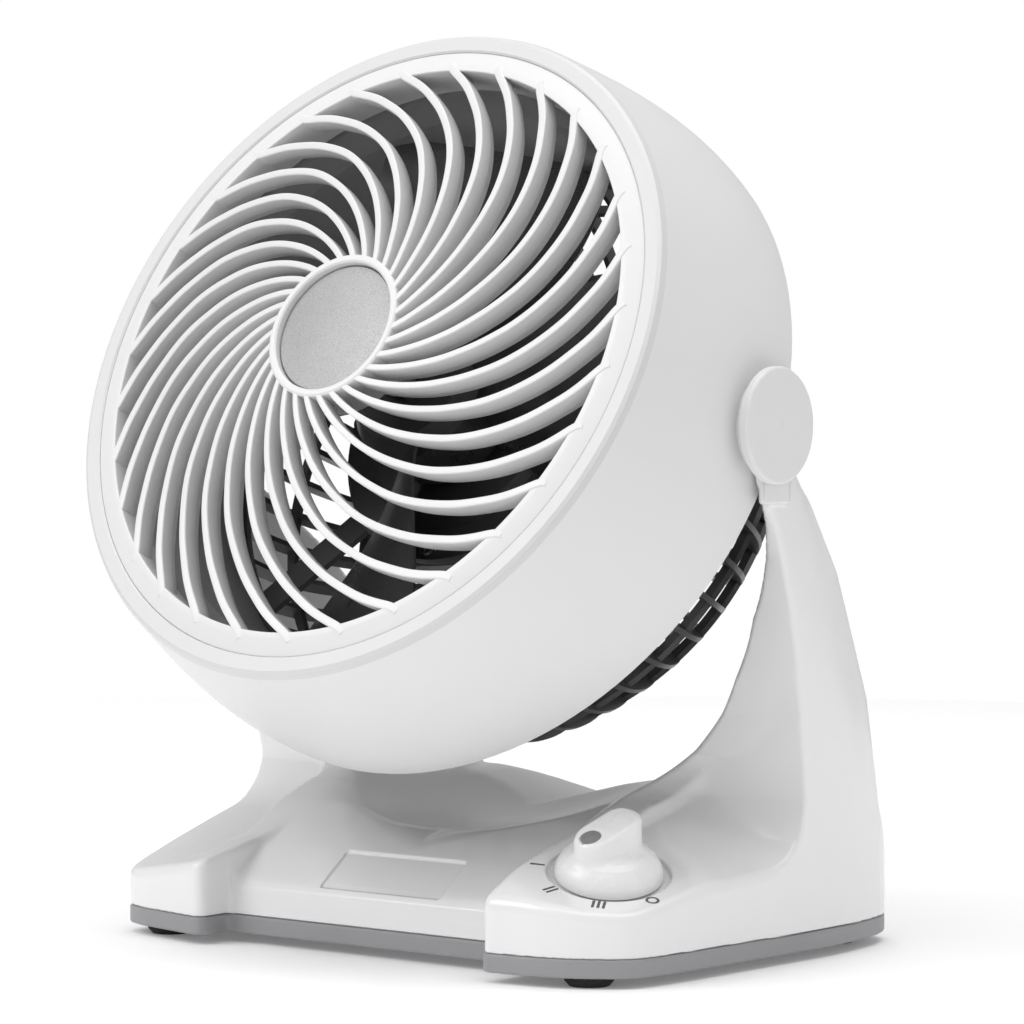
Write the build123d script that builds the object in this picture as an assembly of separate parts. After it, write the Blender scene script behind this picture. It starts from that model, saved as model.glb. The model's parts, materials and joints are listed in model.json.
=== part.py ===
from build123d import *
import os
import math

# Compact round air circulator on a low two-armed stand. Millimetres.
# +Z is up, the air leaves towards -Y, and the speed knob is on the +X side.
# The origin is on the ground, under the middle of the object; the head's tilt axis is above it.

# ---- driving dimensions ----
TILT = 25.68            # stored tilt of the head above level, degrees
PIVOT_Z = 163.5         # height of the tilt axis
RIM_R = 108.0           # front rim radius
RIM_A = 54.4            # front rim plane, ahead of the tilt axis
TAIL_A = -9.1           # rear edge of the white shell, along the head axis
WALL = 2.5              # moulded wall thickness
N_LOUVRES = 31
HUB_IN = 21.3           # badge recess radius
HUB_OUT = 23.8
TIP_R = 95.0            # where the louvres meet the flange
LOUVRE_DEPTH = 13.0
LOUVRE_T = 1.9
N_RIBS = 48
DRUM_R = 101.0          # rear grille, radius at its front
DRUM_L = 80.0           # rear grille, depth
DRUM_E = 2.2            # fullness of its curve
N_BLADES = 4
BLADE_R = 87.0
SHAFT_R = 4.0
RUN = 0.05              # running clearance on radius
TRUNNION_R = 5.0
CAP_R = 17.5
CAP_X0, CAP_X1 = 118.5, 121.2
EAR_X0, EAR_X1 = 115.9, 118.2
PAN_Z0, PAN_Z1 = 3.0, 8.8
KNOB_R = 16.3
KNOB_AT = (81.0, -30.94, 31.29)
DECK_GX, DECK_GY = -0.259, 0.258   # slope of the knob deck
CABLE_R = 3.4
REAR_Y = 95.2

os.makedirs("parts", exist_ok=True)
nodes = {}

t = math.radians(TILT)
HEAD = Plane(origin=(0, 0, PIVOT_Z), x_dir=(1, 0, 0), z_dir=(0, -math.cos(t), math.sin(t)))


def head(shape):
    return HEAD.location * shape


def turned(pts):
    """Solid of revolution about the head axis from (radius, along-axis) points."""
    return revolve(make_face(Polyline(*[(r, 0, a) for r, a in pts], close=True)), Axis.Z, 360)


def turned_edges(edges):
    return revolve(make_face(edges), Axis.Z, 360)


def tube(r0, r1, a0, a1):
    return turned([(r0, a0), (r1, a0), (r1, a1), (r0, a1)])


def rod(r, a0, a1):
    return Pos(0, 0, (a0 + a1) / 2) * Cylinder(r, a1 - a0)


def rod_x(r, x0, x1, y=0.0, z=PIVOT_Z):
    return Pos((x0 + x1) / 2, y, z) * Rot(0, 90, 0) * Cylinder(r, abs(x1 - x0))


# ---- head: white shell ----
OUTER = [(54.4, 108.0), (44.6, 110.1), (34.9, 112.08), (25.1, 113.75), (15.3, 114.92), (5.5, 115.39), (-4.2, 114.97), (-9.1, 114.36)]
F0 = 51.9      # the bezel closes the shell from here forward


def outer_r(a):
    for (a1, r1), (a0, r0) in zip(OUTER, OUTER[1:]):
        if a >= a0:
            return r0 + (r1 - r0) * (a - a0) / (a1 - a0)
    return OUTER[-1][1]


out_pts = [(outer_r(F0), 0, F0)] + [(r, 0, a) for a, r in OUTER[1:]]
in_pts = [(r - WALL, 0, a) for r, _, a in out_pts]
shell = turned_edges([
    Spline(*out_pts),
    Line(out_pts[-1], in_pts[-1]),
    Spline(*in_pts[::-1]),
    Line(in_pts[0], out_pts[0]),
])
FLANGE_A0, FLANGE_A1 = -6.1, -3.7
shell = shell + turned([(98.0, FLANGE_A0), (113.4, FLANGE_A0), (113.4, FLANGE_A1), (98.0, FLANGE_A1)])
shell = head(shell)
for s in (-1, 1):
    shell = shell + rod_x(14.0, s * 112.4, s * 115.6) - rod_x(9.2, s * 100.0, s * 112.6)
    shell = shell - rod_x(TRUNNION_R + 0.2, s * 100.0, s * 130.0)
grille_screw_pts = [(105.5, ang) for ang in (45, 135, 225, 315)]
for r, ang in grille_screw_pts:
    x, y = r * math.cos(math.radians(ang)), r * math.sin(math.radians(ang))
    shell = shell - head(Pos(x, y, -4.9) * Cylinder(1.5, 4.0))
nodes["duct_shell"] = shell

# ---- head: bezel ring ----
bezel = turned([(102.0, 53.9), (102.6, 54.4), (106.6, 54.4), (107.7, 53.7), (outer_r(F0), F0), (104.6, F0), (104.6, 46.0), (102.6, 46.0), (102.0, 49.0)])
nodes["front_bezel"] = head(bezel)

# ---- head: louvre grille ----
DOME = [(21.3, 14.9), (25.9, 14.6), (32.4, 14.0), (41.0, 12.7), (49.7, 11.3), (58.3, 9.4), (67.0, 7.6), (75.6, 5.4), (84.2, 3.5), (91.8, 1.9), (95.0, 1.5), (102.0, -0.5)]
SPIRAL = [(22.5, -2.5), (25.9, 2.3), (29.2, 6.7), (32.4, 10.4), (36.7, 14.9), (41.0, 19.0), (45.4, 22.8), (49.7, 26.5), (54.0, 30.0), (58.3, 33.5), (62.6, 36.7), (67.0, 40.2), (71.3, 43.9), (75.6, 47.6), (79.9, 51.2), (84.2, 55.1), (88.6, 58.7), (91.8, 61.8), (96.2, 66.0)]


def dome_a(r):
    for (r0, d0), (r1, d1) in zip(DOME, DOME[1:]):
        if r <= r1:
            return RIM_A + d0 + (d1 - d0) * (r - r0) / (r1 - r0)
    return RIM_A + DOME[-1][1]


front = [(r, RIM_A + d) for r, d in DOME]
back = [(r, a - LOUVRE_DEPTH) for r, a in front]
band_f = [(r, 0, a) for r, a in front if r <= 96.0]
band_f = [(HUB_IN + 1.0, 0, dome_a(HUB_IN + 1.0))] + band_f[1:-1] + [(96.2, 0, dome_a(96.2))]
band_b = [(r, 0, a - LOUVRE_DEPTH) for r, _, a in band_f]
envelope = revolve(make_face(Polyline(*(band_f + band_b[::-1]), close=True)), Axis.Z, 360)


def polar(r, deg):
    return (r * math.cos(math.radians(deg)), r * math.sin(math.radians(deg)))


def louvre_face():
    left, right = [], []
    for i, (r, th) in enumerate(SPIRAL):
        x, y = polar(r, th)
        a, b = SPIRAL[max(i - 1, 0)], SPIRAL[min(i + 1, len(SPIRAL) - 1)]
        (xa, ya), (xb, yb) = polar(*a), polar(*b)
        d = math.hypot(xb - xa, yb - ya)
        nx, ny = -(yb - ya) / d, (xb - xa) / d
        h = LOUVRE_T / 2 * (1.0 + 0.25 * (r - 22.5) / 72.5)
        left.append((x + nx * h, y + ny * h))
        right.append((x - nx * h, y - ny * h))
    return make_face([Spline(*left), Line(left[-1], right[-1]), Spline(*right[::-1]), Line(right[0], left[0])])


one = Pos(0, 0, 30) * extrude(louvre_face(), 50)
one = one & envelope
blades = [Rot(0, 0, 360.0 * k / N_LOUVRES) * one for k in range(N_LOUVRES)]
hub = turned([(HUB_IN, RIM_A + 1.0), (HUB_OUT, RIM_A + 1.0), (HUB_OUT, RIM_A + 14.6), (HUB_OUT - 0.8, RIM_A + 15.0), (HUB_IN, RIM_A + 15.0)])
hub = hub + turned([(0, RIM_A + 9.0), (HUB_IN + 0.5, RIM_A + 9.0), (HUB_IN + 0.5, RIM_A + 11.0), (0, RIM_A + 11.0)])
flange = turned([(TIP_R, dome_a(TIP_R)), (101.9, RIM_A - 0.5), (101.9, RIM_A - 6.0), (TIP_R, dome_a(TIP_R) - LOUVRE_DEPTH)])
grille = flange.fuse(hub, *blades)
nodes["louvre_grille"] = head(grille)
nodes["badge_disc"] = head(turned([(0, RIM_A + 11.0), (HUB_IN - 0.15, RIM_A + 11.0), (HUB_IN - 0.15, RIM_A + 12.6), (HUB_IN - 0.6, RIM_A + 13.0), (0, RIM_A + 13.6)]))

# ---- head: inner duct ----
duct = turned([(102.4, 44.0), (101.0, 44.0), (96.0, 38.5), (92.6, 30.0), (91.4, 12.0), (91.6, -3.5), (103.0, -3.5), (103.0, -1.9), (93.2, -1.9), (93.0, 12.0), (94.2, 30.0), (97.4, 37.5), (102.4, 43.0)])
nodes["inner_duct"] = head(duct)

# ---- head: rear grille ----
RING_A0, RING_A1 = -8.5, -6.1


def drum_r(s):
    return DRUM_R * (1 - min(s, 0.9999) ** DRUM_E) ** (1 / DRUM_E)


END_S = 0.93
steps = [END_S * k / 9 for k in range(10)]
outer = [(drum_r(s), 0, RING_A0 - DRUM_L * s) for s in steps]
inner = []
for i, (r, _, a) in enumerate(outer):
    p, q = outer[max(i - 1, 0)], outer[min(i + 1, 9)]
    dr, da = q[0] - p[0], q[2] - p[2]
    n = math.hypot(dr, da)
    inner.append((r + da / n * 5.0, 0, a - dr / n * 5.0))
inner[0] = (inner[0][0], 0, RING_A0 + 0.6)
outer_c = [(outer[0][0], 0, RING_A0 + 0.6)] + outer[1:]
rib = extrude(make_face([Spline(*outer_c), Line(outer_c[-1], inner[-1]), Spline(*inner[::-1]), Line(inner[0], outer_c[0])]), 0.9, both=True)
ribs = [Rot(0, 0, 360.0 * (k + 0.5) / N_RIBS) * rib for k in range(N_RIBS)]
rear_r, rear_a = outer[-1][0], outer[-1][2]
rings = [turned([(rear_r - 6.0, rear_a + 4.5), (rear_r + 1.0, rear_a + 4.5), (rear_r + 1.0, rear_a), (rear_r - 1.0, rear_a - 1.2), (0, rear_a - 1.2), (0, rear_a + 1.2), (rear_r - 6.0, rear_a + 1.2)])]
for s in (0.35, 0.62):
    r, a = drum_r(s), RING_A0 - DRUM_L * s
    rings.append(turned([(r - 4.2, a + 1.2), (r - 1.2, a + 1.2), (r - 1.2, a - 1.2), (r - 4.2, a - 1.2)]))
base_ring = tube(94.6, 110.6, RING_A0, RING_A1)
for r, ang in grille_screw_pts:
    base_ring = base_ring - Pos(*polar(r, ang), -7.3) * Cylinder(1.7, 5.0)
rear = head(base_ring.fuse(*rings, *ribs))
for s in (-1, 1):
    rear = rear - rod_x(9.6, s * 99.0, s * 113.0)
nodes["rear_grille"] = rear

# ---- head: motor mount and motor ----
mount = tube(88.0, 97.6, -6.1, -3.9) + tube(36.6, 46.0, -6.1, -3.9)
for k in range(4):
    mount = mount + Rot(0, 0, 45 + 90 * k) * Pos(67.0, 0, -5.0) * Box(46.0, 9.0, 2.2)
for k in range(4):
    mount = mount - Pos(*polar(42.0, 90 * k), -5.0) * Cylinder(1.7, 4.0)
nodes["motor_mount"] = head(mount)
m_rear = turned([(SHAFT_R + 1.2, -45.0), (28.0, -45.0), (36.0, -40.0), (36.0, -4.1), (34.0, -4.1), (34.0, -39.0), (27.0, -43.0), (SHAFT_R + 1.2, -43.0)])
m_rear = m_rear + tube(9.0, 11.0, -43.5, -37.5)
nodes["motor_casing_rear"] = head(m_rear)
m_front = turned([(9.0, 4.0), (9.0, -1.0), (11.0, -1.0), (11.0, 0.4), (32.0, -2.0), (34.0, -3.9), (46.0, -3.9), (46.0, -1.9), (36.0, -1.9), (33.0, 0.4), (11.0, 3.0), (11.0, 4.0)])
for k in range(4):
    m_front = m_front - Pos(*polar(42.0, 90 * k), -2.9) * Cylinder(1.7, 4.0)
nodes["motor_casing_front"] = head(m_front)
stator = tube(20.2, 33.9, -30.0, -14.0)
for k in range(8):
    stator = stator - Rot(0, 0, 45 * k) * Pos(25.5, 0, -22.0) * Box(6.0, 5.0, 20.0)
nodes["stator_core"] = head(stator)
nodes["stator_winding"] = head(Compound(children=[tube(21.5, 31.0, -36.0, -30.0), tube(21.5, 31.0, -14.0, -8.5)]))
nodes["bearing_front"] = head(tube(SHAFT_R + RUN, 9.0, -1.0, 4.0))
nodes["bearing_rear"] = head(tube(SHAFT_R + RUN, 9.0, -43.0, -38.0))


def cap_screw(x, y, a_head, a_tip, r=1.45, hr=2.9, hh=1.8):
    s = Pos(x, y, (a_head + a_tip) / 2) * Cylinder(r, abs(a_head - a_tip))
    d = 1 if a_head > a_tip else -1
    h = Pos(x, y, a_head + d * hh / 2) * (Cylinder(hr, hh) - Pos(0, 0, d * 0.6) * Box(3.4, 0.8, 1.0) - Pos(0, 0, d * 0.6) * Box(0.8, 3.4, 1.0))
    return s + h


nodes["motor_screws"] = head(Compound(children=[cap_screw(*polar(42.0, 90 * k), -1.9, -9.5) for k in range(4)]))
nodes["grille_screws"] = head(Compound(children=[cap_screw(*polar(r, ang), -8.5, -3.0) for r, ang in grille_screw_pts]))

# ---- rotor: shaft, core, propeller ----
nodes["motor_shaft"] = head(rod(SHAFT_R, -42.6, 33.0))
nodes["rotor_core"] = head(tube(SHAFT_R, 19.7, -31.0, -13.0))


def blade_section(r, pitch, chord, a_mid):
    """Thin cambered section at radius r, in the plane across the blade."""
    h = chord / 2
    c, s = math.cos(math.radians(pitch)), math.sin(math.radians(pitch))

    def at(u, w):
        yy, aa = u * c - w * s, u * s + w * c
        return (r, yy, a_mid + aa)

    top = [at(-h, 0.3), at(-h * 0.4, 2.6), at(h * 0.3, 3.0), at(h, 0.4)]
    bot = [at(h, -0.4), at(h * 0.3, 1.0), at(-h * 0.4, 0.6), at(-h, -0.3)]
    return make_face([Spline(*top), Line(top[-1], bot[0]), Spline(*bot), Line(bot[-1], top[0])])


blade = loft([blade_section(21.0, 48, 30, 17.0), blade_section(42.0, 38, 52, 18.0), blade_section(66.0, 28, 70, 19.0), blade_section(84.0, 22, 72, 20.0)])
blade = blade & tube(0.0001, BLADE_R, -2.0, 45.0)
prop = turned([(SHAFT_R, 6.0), (8.0, 6.0), (8.0, 26.0), (21.0, 25.0), (21.0, 6.0), (24.0, 6.0), (24.0, 24.0), (20.0, 30.0), (8.0, 31.0), (SHAFT_R, 29.0)])
prop = prop.fuse(*[Rot(0, 0, 360 / N_BLADES * k) * blade for k in range(N_BLADES)])
prop = prop - rod(SHAFT_R, 0, 45)
nodes["propeller"] = head(prop)
nut = extrude(Pos(0, 0, 31.0) * RegularPolygon(6.5, 6), 3.4) - rod(SHAFT_R, 25, 45)
nodes["propeller_nut"] = head(nut)

# ---- tilt pivots, one each side ----
for s, name in ((-1, "left"), (1, "right")):
    tr = rod_x(8.6, s * 108.0, s * 112.0) + rod_x(TRUNNION_R, s * 112.0, s * CAP_X0)
    tr = tr - rod_x(1.6, s * 100.0, s * 119.0)
    nodes["trunnion_" + name] = tr
    cap = revolve(make_face([
        Line((CAP_X0, 0, 0), (CAP_X0, 0, CAP_R)), Line((CAP_X0, 0, CAP_R), (CAP_X0 + 1.5, 0, CAP_R)),
        ThreePointArc((CAP_X0 + 1.5, 0, CAP_R), (CAP_X1 - 0.35, 0, CAP_R - 0.35), (CAP_X1 - 0.1, 0, CAP_R - 1.2)),
        Line((CAP_X1 - 0.1, 0, CAP_R - 1.2), (CAP_X1, 0, 0)), Line((CAP_X1, 0, 0), (CAP_X0, 0, 0))]), Axis.X, 360)
    cap = Pos(0, 0, PIVOT_Z) * cap
    if s < 0:
        cap = cap.mirror(Plane.YZ)
    cap = cap - rod_x(1.3, s * 117.0, s * 120.0)
    nodes["pivot_cap_" + name] = cap
nodes["pivot_washers"] = Compound(children=[rod_x(8.4, s * 112.0, s * 112.6) - rod_x(TRUNNION_R, s * 110, s * 114) for s in (-1, 1)])
screws = []
for s in (-1, 1):
    sc = rod_x(1.25, s * 108.0, s * 119.9) + (rod_x(2.9, s * 106.0, s * 108.0) - Pos(s * 106.3, 0, PIVOT_Z) * Box(1.2, 0.8, 3.6))
    screws.append(sc)
nodes["trunnion_screws"] = Compound(children=screws)

# ---- stand ----
RIGHT_BLOCK = [(57.0, -63.4), (84.5, -59.9), (94.0, -56.0), (100.5, -50.5), (104.0, -44.0), (105.2, -38.0), (109.2, 59.0), (103.4, 86.0), (100.5, 91.0), (95.0, 94.2), (57.0, 94.2)]
LEFT_BLOCK = [(-59.1, -58.0), (-90.0, -51.5), (-97.5, -49.5), (-102.5, -45.0), (-105.2, -36.0), (-109.2, 59.0), (-103.4, 86.0), (-100.5, 91.0), (-95.0, 94.2), (-57.0, 94.2)]
FRONT_Y = -44.2
OUTLINE = [(-55.7, FRONT_Y + 0.5), (0, FRONT_Y - 0.6), (57.0, FRONT_Y)] + RIGHT_BLOCK + [(20.0, REAR_Y), (-20.0, REAR_Y)] + LEFT_BLOCK[::-1]


def inset(pts, d):
    """Plan outline moved inward by d; the corner points stay in order."""
    n = len(pts)
    area = sum(pts[i][0] * pts[(i + 1) % n][1] - pts[(i + 1) % n][0] * pts[i][1] for i in range(n))
    s = 1 if area > 0 else -1
    res = []
    for i in range(n):
        (x0, y0), (x1, y1), (x2, y2) = pts[i - 1], pts[i], pts[(i + 1) % n]
        l1, l2 = math.hypot(x1 - x0, y1 - y0), math.hypot(x2 - x1, y2 - y1)
        n1 = (-(y1 - y0) / l1 * s, (x1 - x0) / l1 * s)
        n2 = (-(y2 - y1) / l2 * s, (x2 - x1) / l2 * s)
        k = 1 + n1[0] * n2[0] + n1[1] * n2[1]
        res.append((x1 + (n1[0] + n2[0]) / k * d, y1 + (n1[1] + n2[1]) / k * d))
    return res


def prism(pts, z0, z1):
    return Pos(0, 0, z0) * extrude(make_face(Polyline(*pts, close=True)), z1 - z0)


def deck_z(x, y):
    return KNOB_AT[2] + DECK_GX * (abs(x) - KNOB_AT[0]) + DECK_GY * (y - KNOB_AT[1])


def under_deck(solid, drop, side):
    """Keeps what is below the sloping deck plane, lowered by drop."""
    n = Vector(-DECK_GX * side, -DECK_GY, 1).normalized()
    at = Vector(KNOB_AT[0] * side, KNOB_AT[1], KNOB_AT[2] - drop)
    tool = Plane(origin=(at.X, at.Y, at.Z), z_dir=(n.X, n.Y, n.Z)).location * (Pos(0, 0, 100) * Box(500, 500, 200))
    return solid - tool


def yz_prism(pts, x0, x1):
    f = make_face(Polyline(*[(x0, y, z) for y, z in pts], close=True))
    return extrude(f, amount=x1 - x0, dir=(1, 0, 0))


CENTRE = [(FRONT_Y, PAN_Z1), (-43.9, 14.5), (-40.0, 20.5), (-24.0, 32.0), (-14.0, 36.5), (5.0, 37.5), (30.0, 38.5), (52.0, 41.5), (61.0, 44.5), (70.0, 43.0), (84.0, 32.0), (93.8, 14.0), (94.4, PAN_Z1)]
CENTRE_IN = [(FRONT_Y + 2.8, PAN_Z1 - 1), (-41.2, 13.5), (-38.0, 18.0), (-23.0, 28.9), (-13.5, 33.4), (5.0, 34.4), (30.0, 35.4), (52.0, 38.3), (61.0, 41.2), (69.0, 39.8), (82.0, 29.6), (91.0, 13.0), (91.6, PAN_Z1 - 1)]

ARM = [
    (24.0, (96.0, 30.0), (110.1, 30.0), (110.1, 57.0), (103.9, 84.0), (92.0, 84.0)),
    (37.6, (78.0, 26.0), (111.2, 28.0), (111.2, 55.0), (104.3, 82.0), (78.0, 80.0)),
    (50.0, (66.0, 21.0), (112.1, 29.4), (112.1, 52.5), (105.0, 79.0), (68.0, 76.0)),
    (62.0, (77.0, 20.0), (113.0, 27.0), (113.0, 49.5), (105.5, 75.0), (79.0, 72.0)),
    (75.0, (85.5, 20.5), (114.0, 24.0), (114.0, 44.0), (106.3, 71.0), (88.0, 68.0)),
    (86.0, (91.0, 19.0), (114.8, 21.3), (114.8, 39.0), (107.0, 66.0), (93.0, 63.0)),
    (105.0, (99.5, 15.5), (116.2, 15.6), (116.2, 30.0), (108.0, 56.0), (100.5, 54.0)),
    (124.0, (109.2, 8.7), (117.6, 8.6), (117.6, 20.5), (109.8, 46.0), (106.4, 44.0)),
    (135.0, (113.0, 4.0), (118.4, 3.6), (118.4, 15.0), (111.4, 36.0), (108.6, 35.0)),
    (146.0, (114.9, -5.5), (119.3, -5.0), (119.3, 9.7), (113.2, 25.5), (111.4, 25.0)),
]


def arm_solid(side, rows):
    faces = []
    for z, *pts in rows:
        faces.append(make_face(Polyline(*[(side * x, y, z) for x, y in pts], close=True)))
    return loft(faces, ruled=True)


def arm_hollow(side):
    rows = []
    for z, *pts in ARM[:7]:
        rows.append((z if z > 24 else 6.0, *inset(list(pts), 3.0)))
    return arm_solid(side, rows)


stand = yz_prism(CENTRE, -60.0, 60.0)
holes = [yz_prism(CENTRE_IN, -62.0, 62.0)]
for side, block in ((1, RIGHT_BLOCK), (-1, LEFT_BLOCK)):
    b = under_deck(prism(block, PAN_Z1, 46.0), 0.0, side)
    h = under_deck(prism(inset(block, 2.8), PAN_Z1 - 1, 43.0), 2.9, side)
    stand = stand + b + arm_solid(side, ARM)
    holes += [h, arm_hollow(side)]
for h in holes:
    stand = stand - h
for side in (1, -1):
    ear = [(-5.0, 143.0), (9.0, 143.0), (13.0, 156.0), (-13.0, 156.0)]
    e = extrude(make_face(Polyline(*[(side * EAR_X0, y, z) for y, z in ear], close=True)), amount=EAR_X1 - EAR_X0, dir=(side, 0, 0))
    e = e + rod_x(15.0, side * EAR_X0, side * EAR_X1)
    stand = stand + e
    stand = stand - rod_x(CAP_R + 0.7, side * EAR_X1, side * 130.0)
    stand = stand - rod_x(TRUNNION_R + RUN, side * 110.0, side * 130.0)

# knob deck: recess and spindle hole
n_deck = Vector(-DECK_GX, -DECK_GY, 1).normalized()
KN = Plane(origin=KNOB_AT, x_dir=Vector(1, 0, DECK_GX), z_dir=(n_deck.X, n_deck.Y, n_deck.Z))


def kn(shape):
    return KN.location * shape


stand = stand - kn(Pos(0, 0, 5.0) * Cylinder(KNOB_R + 2.2, 13.6)) + kn(Pos(0, 0, -3.2) * Cylinder(KNOB_R + 4.5, 3.2) - Pos(0, 0, 5.0) * Cylinder(KNOB_R + 2.2, 13.6))
stand = stand - kn(Cylinder(5.0, 30.0))
GLAND = (-77.0, 19.0)
stand = stand - Pos(GLAND[0], 90.0, GLAND[1]) * Rot(90, 0, 0) * Cylinder(5.2, 20.0)
PAN_SCREWS = [(70.0, -46.0), (-72.0, -42.0), (70.0, 78.0), (-66.0, 70.0)]
BOSS_TOP = [27.0, 26.6, 44.5, 44.5]
for (x, y), top in zip(PAN_SCREWS, BOSS_TOP):
    z0 = PAN_Z0 + 2.0
    stand = stand + Pos(x, y, (z0 + top) / 2) * Cylinder(3.6, top - z0) - Pos(x, y, z0 + 5.5) * Cylinder(1.3, 13.0)
nodes["stand_shell"] = stand

pan = prism(OUTLINE, PAN_Z0, PAN_Z1) - prism(inset(OUTLINE, 2.4), PAN_Z0 + 2.0, PAN_Z1 + 1)
FEET = [("foot_front_right", 86.0, -47.0), ("foot_front_left", -88.0, -40.0), ("foot_rear_right", 90.0, 74.0), ("foot_rear_left", -90.0, 74.0)]
for _, x, y in FEET:
    pan = pan - Pos(x, y, PAN_Z0) * Cylinder(2.6, 8.0)
for x, y in PAN_SCREWS:
    pan = pan - Pos(x, y, PAN_Z0) * Cylinder(1.7, 8.0)
nodes["base_pan"] = pan
for name, x, y in FEET:
    pad = Pos(x, y, 0) * revolve(make_face(Polyline((0, 0, 0), (6.0, 0, 0), (7.4, 0, 1.6), (7.4, 0, PAN_Z0), (2.5, 0, PAN_Z0), (2.5, 0, 5.6), (0, 0, 5.6), close=True)), Axis.Z, 360)
    nodes[name] = pad
bot = []
for x, y in PAN_SCREWS:
    bot.append(Pos(x, y, 0) * revolve(make_face(Polyline((0, 0, 1.4), (2.9, 0, 1.4), (2.9, 0, PAN_Z0), (1.25, 0, PAN_Z0), (1.25, 0, 14.0), (0, 0, 14.0), close=True)), Axis.Z, 360))
nodes["pan_screws"] = Compound(children=bot)

# ---- switch, knob ----
sw = Pos(0, 0, -4.8 - 9.0) * Box(19.0, 19.0, 10.0) + Pos(0, 0, -4.8 - 9.0) * Cylinder(11.5, 10.0)
sw = Pos(0, 0, -1.0) * sw
sw = kn(sw)
bush = kn(Pos(0, 0, -6.0) * Cylinder(4.8, 13.2) - Cylinder(3.0 + RUN, 60.0))
nodes["rotary_switch"] = sw - kn(Cylinder(3.0 + RUN, 60.0)) + bush
nodes["switch_nut"] = kn(Pos(0, 0, -1.75) * extrude(RegularPolygon(8.0, 6), 2.0) - Cylinder(4.8, 20.0))
nodes["switch_spindle"] = kn(Pos(0, 0, -17.0 + 0.0) * Cylinder(3.0, 22.0, align=(Align.CENTER, Align.CENTER, Align.MIN)))
knob = turned([(0, -1.2), (KNOB_R, -1.2), (KNOB_R, 1.6), (15.4, 3.2), (12.2, 5.2), (0, 5.2)])
gp = [(-12.5, 3.0), (-11.2, 16.4), (-9.6, 17.8), (-6.8, 18.0), (10.6, 12.4), (12.0, 10.8), (13.2, 3.0)]
grip = extrude(make_face(Polyline(*[(p, 0, h) for p, h in gp], close=True)), amount=6.6, both=True)
grip = grip & (Pos(0, 0, 10) * Cylinder(13.4, 30))
knob = knob + grip - (Pos(0, 0, -1.2) * Cylinder(9.6, 8.8)) - Pos(0, 0, 2) * Cylinder(3.0, 6.0)
PTR = 256.4
dot_at = Vector(8.3, 0, 13.14)
dot_n = Vector(0.306, 0, 0.952)
dot_pl = Plane(origin=dot_at, z_dir=dot_n)
pocket = dot_pl.location * Cylinder(2.6, 1.6)
knob = knob - pocket
turn = Rot(0, 0, PTR)
nodes["speed_knob"] = kn(turn * knob)
nodes["knob_pointer"] = kn(turn * (dot_pl.location * (Pos(0, 0, -0.35) * Cylinder(2.6, 0.9))))

# ---- mains terminal and inlet ----
nodes["terminal_block"] = Pos(-40.0, 70.0, PAN_Z0 + 2.0 + 5.0) * (Box(26.0, 14.0, 10.0) - Pos(-7, 0, 3) * Cylinder(1.6, 6.0) - Pos(7, 0, 3) * Cylinder(1.6, 6.0))
nodes["terminal_screws"] = Compound(children=[Pos(-40.0 + dx, 70.0, PAN_Z0 + 2.0 + 5.0 + 2.0) * Cylinder(1.6, 4.0) for dx in (-7, 7)])
gl = Pos(GLAND[0], 0, GLAND[1]) * revolve(make_face(Polyline((CABLE_R, 84.0, 0), (5.1, 84.0, 0), (5.1, 94.2, 0), (7.4, 94.2, 0), (7.0, 95.1, 0), (CABLE_R, 95.1, 0), close=True)), Axis.Y, 360)
nodes["cord_gland"] = gl
nodes["gland_nut"] = Pos(GLAND[0], 91.2, GLAND[1]) * Rot(90, 0, 0) * (extrude(RegularPolygon(8.0, 6), 3.0) - Cylinder(5.1, 20.0))

for name, shape in nodes.items():
    export_step(shape, "parts/" + name + ".step")
boxes = [s.bounding_box() for s in nodes.values()]
lo = [min(tuple(b.min)[i] for b in boxes) for i in range(3)]
hi = [max(tuple(b.max)[i] for b in boxes) for i in range(3)]
print(len(nodes), "nodes; box", [round(v, 2) for v in lo], [round(v, 2) for v in hi])
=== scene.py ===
import bpy
import json
import math
import numpy as np
from mathutils import Vector, Matrix


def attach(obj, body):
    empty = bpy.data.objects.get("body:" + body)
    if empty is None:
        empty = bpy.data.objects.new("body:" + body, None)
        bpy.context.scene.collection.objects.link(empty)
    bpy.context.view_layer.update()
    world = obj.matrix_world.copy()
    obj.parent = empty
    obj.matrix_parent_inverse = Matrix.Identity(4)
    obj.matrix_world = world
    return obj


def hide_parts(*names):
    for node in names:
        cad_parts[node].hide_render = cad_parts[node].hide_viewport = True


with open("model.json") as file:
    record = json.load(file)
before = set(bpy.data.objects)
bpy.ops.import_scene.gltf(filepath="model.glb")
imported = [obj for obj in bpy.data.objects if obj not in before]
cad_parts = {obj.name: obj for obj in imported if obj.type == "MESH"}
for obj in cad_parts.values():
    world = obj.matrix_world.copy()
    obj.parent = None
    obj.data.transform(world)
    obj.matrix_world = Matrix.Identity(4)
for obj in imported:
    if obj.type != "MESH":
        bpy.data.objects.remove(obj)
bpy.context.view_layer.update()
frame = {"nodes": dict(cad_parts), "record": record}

MM = 0.001
TILT = math.radians(25.68)
PIVOT = np.array([0.0, 0.0, 163.5])
UP = np.array([0.0, math.sin(TILT), math.cos(TILT)])
FWD = np.array([0.0, -math.cos(TILT), math.sin(TILT)])
RIM_A = 54.4


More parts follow.
